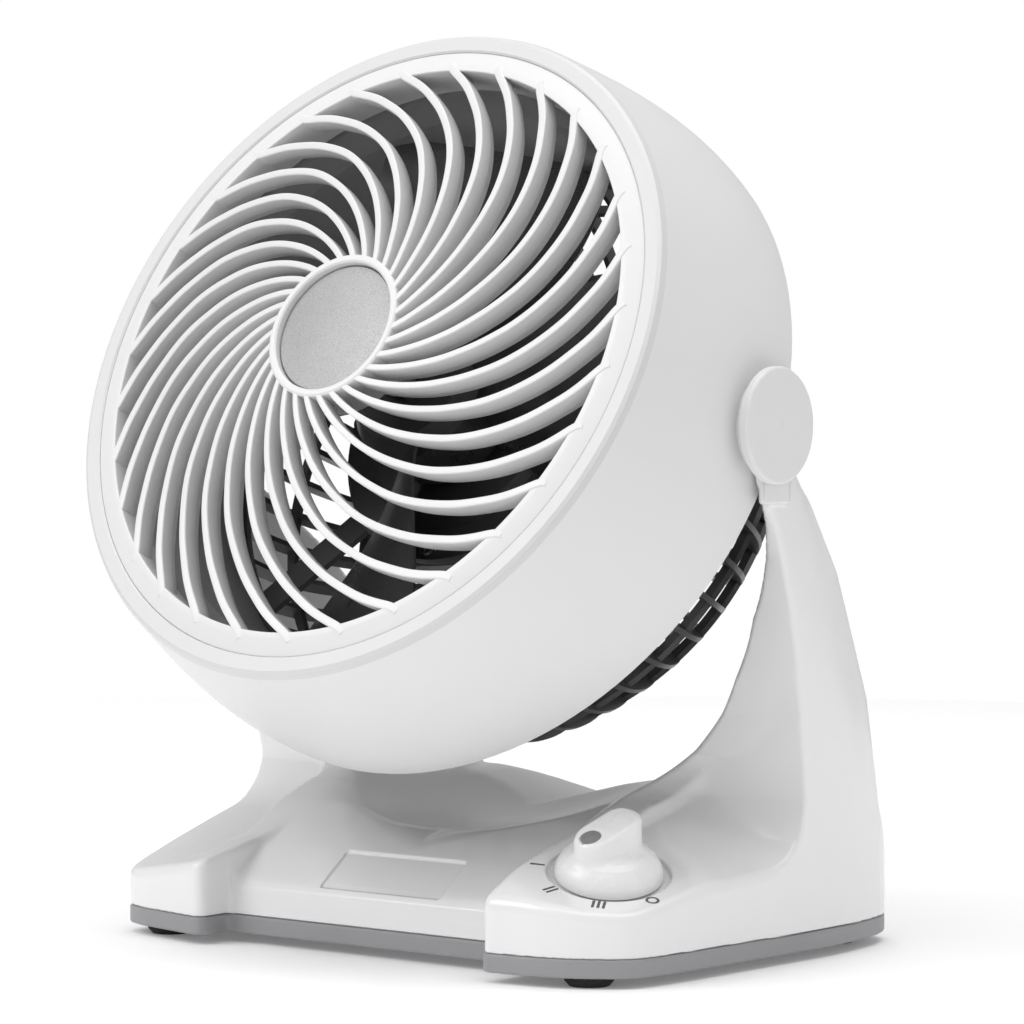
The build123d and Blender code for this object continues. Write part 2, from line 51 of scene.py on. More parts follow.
# ------------------------------------------------------------------ materials
class Tree:
    """Small helper around a node tree."""

    def __init__(self, name):
        self.m = bpy.data.materials.new(name)
        self.m.use_nodes = True
        self.t = self.m.node_tree
        self.t.nodes.clear()
        self.out = self.add("ShaderNodeOutputMaterial")
        self.p = self.add("ShaderNodeBsdfPrincipled")
        self.link(self.p.outputs["BSDF"], self.out.inputs["Surface"])
        self.co = self.add("ShaderNodeTexCoord").outputs["Object"]

    def add(self, kind, **kw):
        n = self.t.nodes.new(kind)
        for k, v in kw.items():
            setattr(n, k, v)
        return n

    def link(self, a, b):
        self.t.links.new(a, b)

    def noise(self, scale, detail=4.0, rough=0.55, co=None):
        n = self.add("ShaderNodeTexNoise")
        n.inputs["Scale"].default_value = scale
        n.inputs["Detail"].default_value = detail
        n.inputs["Roughness"].default_value = rough
        self.link(co if co is not None else self.co, n.inputs["Vector"])
        return n.outputs["Fac"]

    def ramp(self, fac, stops):
        r = self.add("ShaderNodeValToRGB")
        e = r.color_ramp.elements
        while len(e) < len(stops):
            e.new(0.5)
        for el, (pos, col) in zip(e, stops):
            el.position = pos
            el.color = (*col, 1.0) if len(col) == 3 else col
        self.link(fac, r.inputs["Fac"])
        return r.outputs["Color"]

    def span(self, fac, lo, hi, a=0.3, b=0.7):
        r = self.add("ShaderNodeMapRange")
        r.inputs["From Min"].default_value = a
        r.inputs["From Max"].default_value = b
        r.inputs["To Min"].default_value = lo
        r.inputs["To Max"].default_value = hi
        self.link(fac, r.inputs["Value"])
        return r.outputs["Result"]

    def mix(self, fac, a, b):
        n = self.add("ShaderNodeMix", data_type="RGBA")
        self.link(fac, n.inputs["Factor"])
        self.link(a, n.inputs["A"])
        self.link(b, n.inputs["B"])
        return n.outputs["Result"]

    def bump(self, height, strength, dist, prev=None):
        b = self.add("ShaderNodeBump")
        b.inputs["Strength"].default_value = strength
        b.inputs["Distance"].default_value = dist
        self.link(height, b.inputs["Height"])
        if prev is not None:
            self.link(prev, b.inputs["Normal"])
        return b.outputs["Normal"]

    def math(self, op, a, b=None):
        n = self.add("ShaderNodeMath", operation=op)
        for i, v in enumerate((a, b)):
            if v is None:
                continue
            if isinstance(v, (int, float)):
                n.inputs[i].default_value = v
            else:
                self.link(v, n.inputs[i])
        return n.outputs["Value"]


def tone(c, k):
    return tuple(min(1.0, v * k) for v in c)


def plastic(name, col, rough=(0.3, 0.42), grain=2200.0, grain_str=0.06, flow=9.0, vary=0.02, coat=0.0, coat_r=0.1, spec=0.5, sss=0.0):
    """Moulded plastic: a slow flow variation of tone and gloss, and a fine spark-eroded grain."""
    T = Tree(name)
    slow = T.noise(flow, 3.0, 0.5)
    mid = T.noise(90.0, 5.0, 0.6)
    fine = T.noise(grain, 2.0, 0.6)
    base = T.ramp(slow, [(0.25, tone(col, 1 - vary)), (0.5, col), (0.75, tone(col, 1 + vary * 0.6))])
    fleck = T.ramp(mid, [(0.3, tone(col, 1 - vary * 1.3)), (0.7, tone(col, 1 + vary * 0.3))])
    f = T.math("MULTIPLY", slow, 0.5)
    T.link(T.mix(f, base, fleck), T.p.inputs["Base Color"])
    rr = T.math("ADD", T.span(mid, rough[0], rough[1]), T.span(fine, -0.015, 0.015))
    T.link(rr, T.p.inputs["Roughness"])
    n = T.bump(fine, grain_str, 0.00008)
    n = T.bump(slow, 0.05, 0.0004, n)
    T.link(n, T.p.inputs["Normal"])
    T.p.inputs["IOR"].default_value = 1.49
    T.p.inputs["Specular IOR Level"].default_value = spec
    T.p.inputs["Coat Weight"].default_value = coat
    T.p.inputs["Coat Roughness"].default_value = coat_r
    if sss:
        T.p.inputs["Subsurface Weight"].default_value = sss
        T.p.inputs["Subsurface Radius"].default_value = (0.004, 0.004, 0.004)
    return T.m


def metal(name, col, rough=(0.22, 0.4), brush=(900.0, 900.0, 40.0), bump=0.15):
    """Turned or brushed metal with fine scratches and dull patches."""
    T = Tree(name)
    mp = T.add("ShaderNodeMapping")
    mp.inputs["Scale"].default_value = brush
    T.link(T.co, mp.inputs["Vector"])
    s = T.noise(1.0, 4.0, 0.7, mp.outputs["Vector"])
    w = T.noise(60.0, 4.0, 0.6)
    T.link(T.ramp(w, [(0.3, tone(col, 0.8)), (0.55, col), (0.8, tone(col, 1.1))]), T.p.inputs["Base Color"])
    T.p.inputs["Metallic"].default_value = 1.0
    T.link(T.math("ADD", T.span(s, rough[0], rough[1]), T.span(w, -0.04, 0.06)), T.p.inputs["Roughness"])
    T.link(T.bump(s, bump, 0.0001), T.p.inputs["Normal"])
    return T.m


def badge_metal():
    """Silver paint with metal flake."""
    T = Tree("silver_badge")
    v = T.add("ShaderNodeTexVoronoi")
    v.inputs["Scale"].default_value = 2600.0
    T.link(T.co, v.inputs["Vector"])
    fl = T.ramp(v.outputs["Distance"], [(0.0, (0.50, 0.50, 0.505)), (0.45, (0.36, 0.36, 0.365)), (0.9, (0.26, 0.26, 0.265))])
    sl = T.noise(35.0, 4.0, 0.5)
    tint = T.ramp(sl, [(0.3, (0.33, 0.33, 0.335)), (0.7, (0.41, 0.41, 0.415))])
    T.link(T.mix(T.span(sl, 0.35, 0.6), tint, fl), T.p.inputs["Base Color"])
    T.p.inputs["Metallic"].default_value = 0.55
    T.link(T.span(v.outputs["Distance"], 0.34, 0.52, 0.0, 0.8), T.p.inputs["Roughness"])
    T.link(T.bump(v.outputs["Distance"], 0.25, 0.00006), T.p.inputs["Normal"])
    return T.m


def rubber():
    T = Tree("black_rubber")
    a, b = T.noise(700.0, 4.0, 0.7), T.noise(40.0, 3.0, 0.5)
    T.link(T.ramp(b, [(0.3, (0.010, 0.010, 0.011)), (0.7, (0.022, 0.022, 0.023))]), T.p.inputs["Base Color"])
    T.link(T.span(a, 0.7, 0.9), T.p.inputs["Roughness"])
    T.link(T.bump(a, 0.4, 0.0001), T.p.inputs["Normal"])
    return T.m


def copper():
    T = Tree("copper_winding")
    w = T.add("ShaderNodeTexWave", wave_type="RINGS")
    w.inputs["Scale"].default_value = 480.0
    w.inputs["Distortion"].default_value = 2.5
    T.link(T.co, w.inputs["Vector"])
    T.link(T.ramp(w.outputs["Fac"], [(0.0, (0.28, 0.10, 0.04)), (0.6, (0.62, 0.27, 0.12)), (1.0, (0.75, 0.38, 0.18))]), T.p.inputs["Base Color"])
    T.p.inputs["Metallic"].default_value = 0.9
    T.link(T.span(w.outputs["Fac"], 0.45, 0.28, 0.0, 1.0), T.p.inputs["Roughness"])
    T.link(T.bump(w.outputs["Fac"], 0.5, 0.0002), T.p.inputs["Normal"])
    return T.m


def printed(name, col):
    """Pad-printed ink: slightly uneven cover."""
    T = Tree(name)
    a, b = T.noise(1500.0, 4.0, 0.7), T.noise(260.0, 3.0, 0.6)
    T.link(T.ramp(a, [(0.25, tone(col, 1.25)), (0.6, col), (0.8, tone(col, 0.85))]), T.p.inputs["Base Color"])
    T.link(T.span(b, 0.45, 0.6), T.p.inputs["Roughness"])
    T.link(T.bump(a, 0.15, 0.00005), T.p.inputs["Normal"])
    return T.m


WHITE = (0.80, 0.80, 0.80)
MAT = {
    "white_shell": plastic("white_shell", (0.76, 0.76, 0.76), (0.34, 0.44), 2400.0, 0.07, 7.0, 0.015),
    "white_bezel": plastic("white_bezel", (0.665, 0.665, 0.665), (0.30, 0.40), 2400.0, 0.05, 9.0, 0.015),
    "white_grille": plastic("white_grille", (0.75, 0.75, 0.75), (0.28, 0.38), 2400.0, 0.05, 12.0, 0.015),
    "silver_badge": badge_metal(),
    "grey_duct": plastic("grey_duct", (0.30, 0.30, 0.305), (0.38, 0.5), 2000.0, 0.08, 14.0, 0.05),
    "charcoal_grille": plastic("charcoal_grille", (0.052, 0.052, 0.055), (0.32, 0.46), 1800.0, 0.15, 18.0, 0.15, spec=0.6),
    "dark_blade": plastic("dark_blade", (0.035, 0.035, 0.038), (0.25, 0.38), 1500.0, 0.08, 16.0, 0.15),
    "motor_metal": plastic("motor_metal", (0.06, 0.06, 0.063), (0.35, 0.5), 900.0, 0.3, 25.0, 0.2),
    "steel": metal("steel", (0.55, 0.55, 0.56)),
    "copper": copper(),
    "white_stand": plastic("white_stand", (0.82, 0.82, 0.825), (0.16, 0.24), 2600.0, 0.03, 6.0, 0.012, coat=0.25, coat_r=0.08),
    "grey_pan": plastic("grey_pan", (0.30, 0.30, 0.315), (0.42, 0.55), 1600.0, 0.14, 20.0, 0.06),
    "black_rubber": rubber(),
    "black_plastic": plastic("black_plastic", (0.025, 0.025, 0.026), (0.4, 0.55), 1500.0, 0.2, 20.0, 0.15),
    "white_knob": plastic("white_knob", (0.82, 0.82, 0.82), (0.24, 0.33), 2600.0, 0.04, 20.0, 0.012, coat=0.15, coat_r=0.12),
    "pointer_grey": printed("pointer_grey", (0.19, 0.19, 0.195)),
}
NODE_SLOT = {s["node"]: s["material_slot"] for s in frame["record"]["subparts"]} if "subparts" in frame["record"] else {}
for name, obj in frame["nodes"].items():
    slot = NODE_SLOT.get(name)
    if slot in MAT:
        obj.data.materials.clear()
        obj.data.materials.append(MAT[slot])


# ------------------------------------------------------------------ mesh tools
def head_pts(p):
    """Head-local (across, up, forward) mm points to the row frame, mm."""
    p = np.asarray(p, float)
    return PIVOT + np.outer(p[:, 0], [1, 0, 0]) + np.outer(p[:, 1], UP) + np.outer(p[:, 2], FWD)


def make(name, verts_mm, faces, mat, body, stands_for=(), smooth=True, angle=None, normals=None):
    me = bpy.data.meshes.new(name)
    me.from_pydata((np.asarray(verts_mm, float) * MM).tolist(), [], [tuple(int(i) for i in f) for f in faces])
    me.validate()
    if smooth:
        me.polygons.foreach_set("use_smooth", [True] * len(me.polygons))
    if angle is not None:
        me.set_sharp_from_angle(angle=math.radians(angle))
    if normals is not None and len(normals) == len(me.vertices):
        me.normals_split_custom_set_from_vertices([tuple(v) for v in normals])
    me.update()
    me.materials.append(MAT[mat] if isinstance(mat, str) else mat)
    ob = bpy.data.objects.new(name, me)
    bpy.context.scene.collection.objects.link(ob)
    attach(ob, body)
    if stands_for:
        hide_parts(*stands_for)
    return ob


def fillet(pts, radii, n=5):
    """Closed 2-D polygon with rounded corners."""
    res, k = [], len(pts)
    for i in range(k):
        p0, p1, p2 = (np.array(pts[j % k], float) for j in (i - 1, i, i + 1))
        r = radii[i] if hasattr(radii, "__len__") else radii
        a, b = p0 - p1, p2 - p1
        la, lb = np.linalg.norm(a), np.linalg.norm(b)
        a, b = a / la, b / lb
        c = float(np.clip(a @ b, -1, 1))
        ang = math.acos(c)
        if r <= 0 or ang > math.pi - 0.05:
            res.append(p1)
            continue
        d = min(r / math.tan(ang / 2), 0.45 * la, 0.45 * lb)
        for j in range(n + 1):
            u = j / n
            res.append((1 - u) ** 2 * (p1 + a * d) + 2 * u * (1 - u) * p1 + u * u * (p1 + b * d))
    return np.array(res)


def lathe(profile, n=256, closed=True, phase=0.0):
    """Revolves a closed (radius, along) profile about the local third axis."""
    prof = np.asarray(profile, float)
    th = np.arange(n) * 2 * math.pi / n + phase
    m = len(prof)
    v = np.zeros((n, m, 3))
    v[:, :, 0] = np.cos(th)[:, None] * prof[None, :, 0]
    v[:, :, 1] = np.sin(th)[:, None] * prof[None, :, 0]
    v[:, :, 2] = prof[None, :, 1]
    f = []
    for i in range(n):
        j = (i + 1) % n
        for k in range(m if closed else m - 1):
            l = (k + 1) % m
            f.append((i * m + k, j * m + k, j * m + l, i * m + l))
    return v.reshape(-1, 3), f


def lathe_solid(profile, n=128):
    """Revolves an open profile whose two ends lie on the axis."""
    prof = np.asarray(profile, float)
    inner = prof[1:-1]
    v, f = lathe(inner, n, closed=False)
    m = len(inner)
    v = np.vstack([v, [[0, 0, prof[0, 1]], [0, 0, prof[-1, 1]]]])
    a, b = len(v) - 2, len(v) - 1
    for i in range(n):
        j = (i + 1) % n
        f.append((i * m, a, j * m))
        f.append((j * m + m - 1, b, i * m + m - 1))
    return v, f


def outward(v, f):
    """Flips all faces if the closed mesh has a negative volume."""
    v = np.asarray(v, float)
    vol = 0.0
    for q in f:
        for k in range(1, len(q) - 1):
            vol += float(np.dot(v[q[0]], np.cross(v[q[k]], v[q[k + 1]])))
    return f if vol > 0 else [tuple(reversed(q)) for q in f]


# ------------------------------------------------------------------ implicit shapes
def smax(a, b, k):
    h = np.clip(0.5 + 0.5 * (a - b) / k, 0, 1)
    return b * (1 - h) + a * h + k * h * (1 - h)


def smin(a, b, k):
    return -smax(-a, -b, k)


def axis_lines(spans):
    """Rectilinear grid lines from (start, end, step) spans."""
    out = []
    for a, b, s in spans:
        n = max(1, int(round((b - a) / s)))
        out += list(np.linspace(a, b, n, endpoint=False))
    out.append(spans[-1][1])
    return np.array(out)


def surface(field, xs, ys, zs, steps=4, eps=0.05):
    """Naive surface nets on a rectilinear grid, vertices then pulled onto the zero surface."""
    X, Y, Z = np.meshgrid(xs, ys, zs, indexing="ij")
    F = field(X, Y, Z).astype(np.float32)
    s = F < 0
    nx, ny, nz = F.shape
    c = np.zeros((nx - 1, ny - 1, nz - 1), np.uint8)
    for dx in (0, 1):
        for dy in (0, 1):
            for dz in (0, 1):
                c += s[dx:nx - 1 + dx, dy:ny - 1 + dy, dz:nz - 1 + dz]
    act = (c > 0) & (c < 8)
    ids = -np.ones(act.shape, np.int64)
    I = np.argwhere(act)
    ids[act] = np.arange(len(I))
    acc = np.zeros((len(I), 3))
    cnt = np.zeros(len(I))
    grid = (xs, ys, zs)
    for ax in range(3):
        o = [a for a in range(3) if a != ax]
        for u in (0, 1):
            for v in (0, 1):
                p = I.copy()
                p[:, o[0]] += u
                p[:, o[1]] += v
                q = p.copy()
                q[:, ax] += 1
                fa = F[p[:, 0], p[:, 1], p[:, 2]].astype(float)
                fb = F[q[:, 0], q[:, 1], q[:, 2]].astype(float)
                hit = (fa < 0) != (fb < 0)
                w = np.where(hit, fa / np.where(hit, fa - fb, 1.0), 0.0)
                pos = np.stack([grid[a][p[:, a]] for a in range(3)], 1)
                pos[:, ax] += w * (grid[ax][q[:, ax]] - grid[ax][p[:, ax]])
                acc[hit] += pos[hit]
                cnt[hit] += 1
    V = acc / cnt[:, None]
    faces = []
    for ax in range(3):
        o = [(ax + 1) % 3, (ax + 2) % 3]
        sl_a = [slice(None)] * 3
        sl_b = [slice(None)] * 3
        sl_a[ax] = slice(0, -1)
        sl_b[ax] = slice(1, None)
        ch = s[tuple(sl_a)] != s[tuple(sl_b)]
        E = np.argwhere(ch)
        ok = (E[:, o[0]] > 0) & (E[:, o[1]] > 0) & (E[:, o[0]] < F.shape[o[0]] - 1) & (E[:, o[1]] < F.shape[o[1]] - 1)
        E = E[ok]
        q = []
        for du, dv in ((-1, -1), (0, -1), (0, 0), (-1, 0)):
            e = E.copy()
            e[:, o[0]] += du
            e[:, o[1]] += dv
            q.append(ids[e[:, 0], e[:, 1], e[:, 2]])
        q = np.stack(q, 1)
        inside = s[E[:, 0], E[:, 1], E[:, 2]]
        q[~inside] = q[~inside][:, ::-1]
        faces.append(q)
    Q = np.vstack(faces)

    def grad(P):
        g = np.zeros_like(P)
        for a in range(3):
            d = np.zeros(3)
            d[a] = eps
            A, B = P + d, P - d
            g[:, a] = (field(A[:, 0], A[:, 1], A[:, 2]) - field(B[:, 0], B[:, 1], B[:, 2])) / (2 * eps)
        return g

    cell = np.stack([np.diff(grid[a])[I[:, a]] for a in range(3)], 1).max(1)
    for _ in range(steps):
        g = grad(V)
        f = field(V[:, 0], V[:, 1], V[:, 2])
        g2 = (g * g).sum(1) + 1e-9
        step = -(f / g2)[:, None] * g
        n = np.linalg.norm(step, axis=1)
        lim = 0.5 * cell
        step *= np.minimum(1.0, lim / np.maximum(n, 1e-9))[:, None]
        V = V + step
    g = grad(V)
    g /= np.linalg.norm(g, axis=1)[:, None] + 1e-9
    return V, Q, g


# ------------------------------------------------------------------ stand shell
KNOB_O = np.array([81.0, -30.94, 31.29])
GX, GY = -0.259, 0.258
KN = np.array([-GX, -GY, 1.0]); KN /= np.linalg.norm(KN)
KX = np.array([1.0, 0.0, GX]); KX /= np.linalg.norm(KX)
KY = np.cross(KN, KX)
PAN_TOP = 8.8

R_PTS = [(57.0, -63.4), (84.5, -59.9), (102.5, -47.2), (105.1, -38.1), (109.2, 58.1), (103.2, 85.5), (95.0, 94.2), (57.0, 94.2)]
L_PTS = [(59.1, -58.0), (97.9, -49.4), (103.4, -44.6), (105.1, -37.0), (109.2, 58.1), (103.2, 85.5), (95.0, 94.2), (57.0, 94.2)]
LEAN = 0.075


def plan(u, y, z, pts, k):
    """Distance-like field of a convex plan outline (u is across, outward), sides leaning with height."""
    f = None
    n = len(pts)
    for i in range(n):
        (x0, y0), (x1, y1) = pts[i], pts[(i + 1) % n]
        dx, dy = x1 - x0, y1 - y0
        l = math.hypot(dx, dy)
        nx, ny = dy / l, -dx / l
        lean = LEAN * max(nx, 0.0) if (57.5 < x0 and y0 < 50.0) else 0.0
        if i == n - 1:
            lean = 0.0
        d = (u - x0) * nx + (y - y0) * ny - lean * (z - PAN_TOP)
        f = d if f is None else smax(f, d, k)
    return f


def tab(z, pts):
    zs = [p[0] for p in pts]
    return np.interp(z, zs, [p[1] for p in pts])


YF = [(8.8, 22.0), (30.0, 25.5), (37.6, 28.0), (50.0, 29.4), (62.0, 27.0), (81.0, 22.7), (96.0, 18.9), (111.0, 14.0), (126.0, 8.1), (144.0, 0.7), (155.0, -4.0)]
YK = [(8.8, 0.20), (52.0, 0.20), (62.0, 0.20), (75.0, 0.12), (86.0, 0.10), (105.0, 0.03), (124.0, 0.02), (134.0, 0.25), (146.0, 1.1), (155.0, 1.3)]
YC = [(8.8, 59.0), (54.0, 50.0), (98.0, 34.0), (119.0, 22.0), (145.0, 10.0), (155.0, 5.0)]
XR = [(8.8, 103.0), (46.0, 104.5), (78.0, 106.0), (118.0, 109.0), (147.0, 110.5), (155.0, 111.0)]
YR = [(8.8, 85.0), (46.0, 80.0), (78.0, 70.6), (118.0, 49.3), (147.0, 27.0), (155.0, 20.0)]
RS = [(0.0, 116.4), (8.9, 116.3), (20.3, 116.2), (31.4, 116.6), (41.4, 120.7), (46.9, 124.0), (53.7, 126.8), (62.5, 127.3), (75.0, 127.3), (90.0, 127.0)]
CY = [-44.6, -43.9, -42.6, -40.0, -28.0, -20.0, -8.0, 5.0, 30.0, 52.0, 66.0, 72.0, 93.8, 96.0]
CZ = [6.0, 14.5, 17.8, 20.5, 29.5, 34.6, 42.0, 47.0, 49.0, 49.5, 49.5, 47.0, 14.0, 8.0]


def smooth_tab(v, ys, zs, w=2.2):
    return (np.interp(v - w, ys, zs) + 2 * np.interp(v, ys, zs) + np.interp(v + w, ys, zs)) / 4


def stand_open(x, y, z):
    """The moulded shell's outer form, without its underside."""
    u = np.abs(x)
    right = x > 0
    # blocks
    fr = plan(u, y, z, R_PTS, 5.0)
    fl = plan(u, y, z, L_PTS, 5.0)
    dr = 31.29 + GX * (u - 81.0) + (GY - 0.004 * (u - 81.0)) * (y + 30.94) - 0.001 * (y + 30.94) ** 2
    flat = 31.29 + GX * (u - 81.0) + GY * (y + 30.94)
    rk = np.sqrt((u - 81.0) ** 2 + (y + 30.94) ** 2)
    w = np.clip((rk - 21.0) / 16.0, 0, 1)
    w = w * w * (3 - 2 * w)
    dr = flat * (1 - w) + dr * w
    dl = 30.6 - 0.20 * (u - 58.0) + (0.20 + 0.0023 * (u - 58.0)) * (y + 40.0) - 0.0004 * (y + 40.0) ** 2
    cap = smooth_tab(y, CY, np.array(CZ) + 1.0, 2.0)
    dr = smin(dr, np.where(y > 20, cap, 60.0), 4.0)
    dl = smin(dl, np.where(y > 20, cap, 60.0), 4.0)
    tr = (z - dr) / 1.07
    tl = (z - dl) / 1.06
    block = np.where(right, smax(fr, tr, 3.4), smax(fl, tl, 3.4))
    # centre panel
    zc = smooth_tab(y, CY, CZ, 1.6)
    slope = np.interp(y, [-46, -44.5, -43.5, -40, -30, -15, 0, 20, 60, 72, 94], [6.0, 5.0, 2.5, 0.9, 0.72, 0.65, 0.4, 0.1, 0.0, 1.4, 1.5])
    fc = (z - zc) / np.sqrt(1 + slope ** 2)
    fc = smax(fc, u - 70.0, 2.0)
    fc = smax(fc, -(y + 44.4), 2.5)
    fc = smax(fc, y - 94.4, 2.0)
    body = smin(block, fc, 3.0)
    # arms
    W = 109.0 + LEAN * (z - PAN_TOP)
    yf, k = tab(z, YF), tab(z, YK)
    yc, xr, yr = tab(z, YC), tab(z, XR), tab(z, YR)
    a_out = u - W
    a_front = (yf - k * (W - u)) - y
    d1, d2 = W - xr, yr - yc
    a_ch = ((u - W) * d2 + (y - yc) * d1) / np.sqrt(d1 * d1 + d2 * d2)
    a_rear = (y - yr) * 0.93
    arm = smax(smax(a_out, a_front / np.sqrt(1 + k * k) * 0.95, 2.6), smax(a_ch, a_rear, 4.0), 2.2)
    arm = smax(arm, 57.0 - u, 3.0)
    both = smin(body, arm, 15.0)
    both = np.where(z > 75, arm, both) if np.ndim(z) else both
    edge = smin(np.where(right, fr, fl), smax(smax(u - 70.0, -(y + 44.4), 1.0), y - 94.4, 1.0), 2.0)
    both = smax(smax(both, a_out, 1.5), edge - 0.1, 1.5)
    # room for the head
    r = np.sqrt(y * y + (z - 163.5) ** 2)
    d = np.sqrt(u * u + r * r)
    phi = np.degrees(np.arctan2(r, np.maximum(u, 1e-6)))
    R = np.interp(phi, [p[0] for p in RS], [p[1] for p in RS])
    bowl = d - R
    scoop = ((39.0 + 0.25 * y + 0.1625 * u) - z) / 1.04
    scoop = smax(scoop, (-24.0 + 0.47 * u - y) / 1.1, 0.6)
    scoop = smax(smax(scoop, y - 22.0, 2.0), u - 50.0, 1.0)
    notch = smax(smax(((41.0 + 0.25 * u) - z) / 1.03, 15.0 - y, 2.0), u - 46.0, 1.0)
    void = smin(bowl, smin(scoop, notch, 0.8), 0.8)
    f = smax(both, -void, 1.8)
    return f


def stand_outer(x, y, z):
    f = stand_open(x, y, z)
    u = np.abs(x)
    # neck and boss round each pivot
    r = np.sqrt(y * y + (z - 163.5) ** 2)
    neck = smax(smax(np.abs(y - 2.5) * 0.97 - (7.0 - 0.02 * (156.0 - z)), np.abs(z - 149.0) - 9.0, 2.0), np.abs(u - 117.05) - 1.15, 0.5)
    ear = smax(r - 15.0, np.abs(u - 117.05) - 1.15, 0.5)
    f = smax(f, z - 156.0, 1.0)
    f = smin(f, smin(neck, ear, 1.0), 1.2)
    socket = smax(r - 18.3, 118.25 - u, 0.5)
    f = smax(f, -socket, 0.7)
    pin = smax(r - 5.08, 110.0 - u, 0.3)
    return smax(f, -pin, 0.3)


def knob_local(x, y, z):
    px, py, pz = x - KNOB_O[0], y - KNOB_O[1], z - KNOB_O[2]
    h = px * KN[0] + py * KN[1] + pz * KN[2]
    a = px * KX[0] + py * KX[1] + pz * KX[2]
    b = px * KY[0] + py * KY[1] + pz * KY[2]
    return a, b, h


def stand_field(x, y, z):
    f = stand_outer(x, y, z)
    a, b, h = knob_local(x, y, z)
    rk = np.sqrt(a * a + b * b)
    dish = smax(rk - 18.6, -1.85 - h, 0.5)
    f = smax(f, -dish, 0.7)
    # plain plate recess in the sloping panel
    plate = smax(np.abs(x) - 24.0, np.abs(y + 34.0) - 6.6, 1.2)
    zc = smooth_tab(y, CY, CZ, 1.6)
    plate = smax(plate, -((z - zc) / 1.24 + 0.75), 0.3)
    f = smax(f, -plate, 0.6)
    # hollow underside
    inner = stand_open(x, y, z) + 2.9
    ki = smax(rk - 21.5, np.abs(h + 3.3) - 3.3, 0.5)
    inner = smax(inner, -ki, 1.0)
    inner = smax(inner, z - 112.0, 2.0)
    f = smax(f, -inner, 0.5)
    hole = smax(rk - 5.0, np.abs(h) - 14.0, 0.3)
    f = smax(f, -hole, 0.3)
    g = np.sqrt((x + 77.0) ** 2 + (z - 19.0) ** 2)
    f = smax(f, -smax(g - 5.2, 70.0 - y, 0.3), 0.4)
    return smax(f, (PAN_TOP + 0.02) - z, 0.3)


xs = axis_lines([(-123.2, -106.0, 1.1), (-106.0, -26.5, 1.35), (-26.5, -22.0, 0.6), (-22.0, 22.0, 1.5), (22.0, 26.5, 0.6), (26.5, 59.0, 1.3), (59.0, 104.0, 0.62), (104.0, 123.2, 1.1)])
ys = axis_lines([(-66.5, -52.0, 0.9), (-52.0, -9.0, 0.62), (-9.0, 34.0, 1.1), (34.0, 96.6, 1.5)])
zs = axis_lines([(7.2, 16.0, 0.9), (16.0, 42.0, 0.62), (42.0, 62.0, 1.1), (62.0, 130.0, 1.2), (130.0, 181.5, 0.95)])
V, Q, N = surface(stand_field, xs, ys, zs)
stand = make("stand_shell_form", V, Q, "white_stand", "stand", ("stand_shell",), normals=N)


# ------------------------------------------------------------------ pan
def pan_field(x, y, z):
    u = np.abs(x)
    zz = np.full_like(z, PAN_TOP)
    fr = plan(u, y, zz, R_PTS, 5.0)
    fl = plan(u, y, zz, L_PTS, 5.0)
    block = np.where(x > 0, fr, fl)
    mid = smax(smax(u - 70.0, -(y + 44.6), 1.0), y - 94.4, 1.0)
    f = smin(block, mid, 3.0)
    return smax(f - 0.0, np.abs(z - 5.9) - 2.86, 0.9)


px = axis_lines([(-112.0, 112.0, 1.3)])
py = axis_lines([(-66.0, 97.0, 1.3)])
pz = axis_lines([(2.2, 9.6, 0.55)])
V, Q, N = surface(pan_field, px, py, pz)
pan = make("base_pan_form", V, Q, "grey_pan", "stand", ("base_pan",), normals=N)


# ------------------------------------------------------------------ louvre grille
DOME = [(21.3, 14.9), (25.9, 14.6), (32.4, 14.0), (41.0, 12.7), (49.7, 11.3), (58.3, 9.4), (67.0, 7.6), (75.6, 5.4), (84.2, 3.5), (91.8, 1.9), (96.2, 1.2), (102.0, -0.5)]
SPIRAL = [(22.5, -2.5), (25.9, 2.3), (29.2, 6.7), (32.4, 10.4), (36.7, 14.9), (41.0, 19.0), (45.4, 22.8), (49.7, 26.5), (54.0, 30.0), (58.3, 33.5), (62.6, 36.7), (67.0, 40.2), (71.3, 43.9), (75.6, 47.6), (79.9, 51.2), (84.2, 55.1), (88.6, 58.7), (91.8, 61.8), (96.2, 66.0)]
N_LOUVRES = 31


def smooth_interp(x, xp, fp):
    """Cubic (Catmull-Rom, monotone enough here) through the points."""
    xp, fp = np.asarray(xp, float), np.asarray(fp, float)
    m = np.gradient(fp, xp)
    i = np.clip(np.searchsorted(xp, x) - 1, 0, len(xp) - 2)
    h = xp[i + 1] - xp[i]
    t = (x - xp[i]) / h
    return ((2 * t ** 3 - 3 * t ** 2 + 1) * fp[i] + (t ** 3 - 2 * t ** 2 + t) * h * m[i] + (-2 * t ** 3 + 3 * t ** 2) * fp[i + 1] + (t ** 3 - t ** 2) * h * m[i + 1])


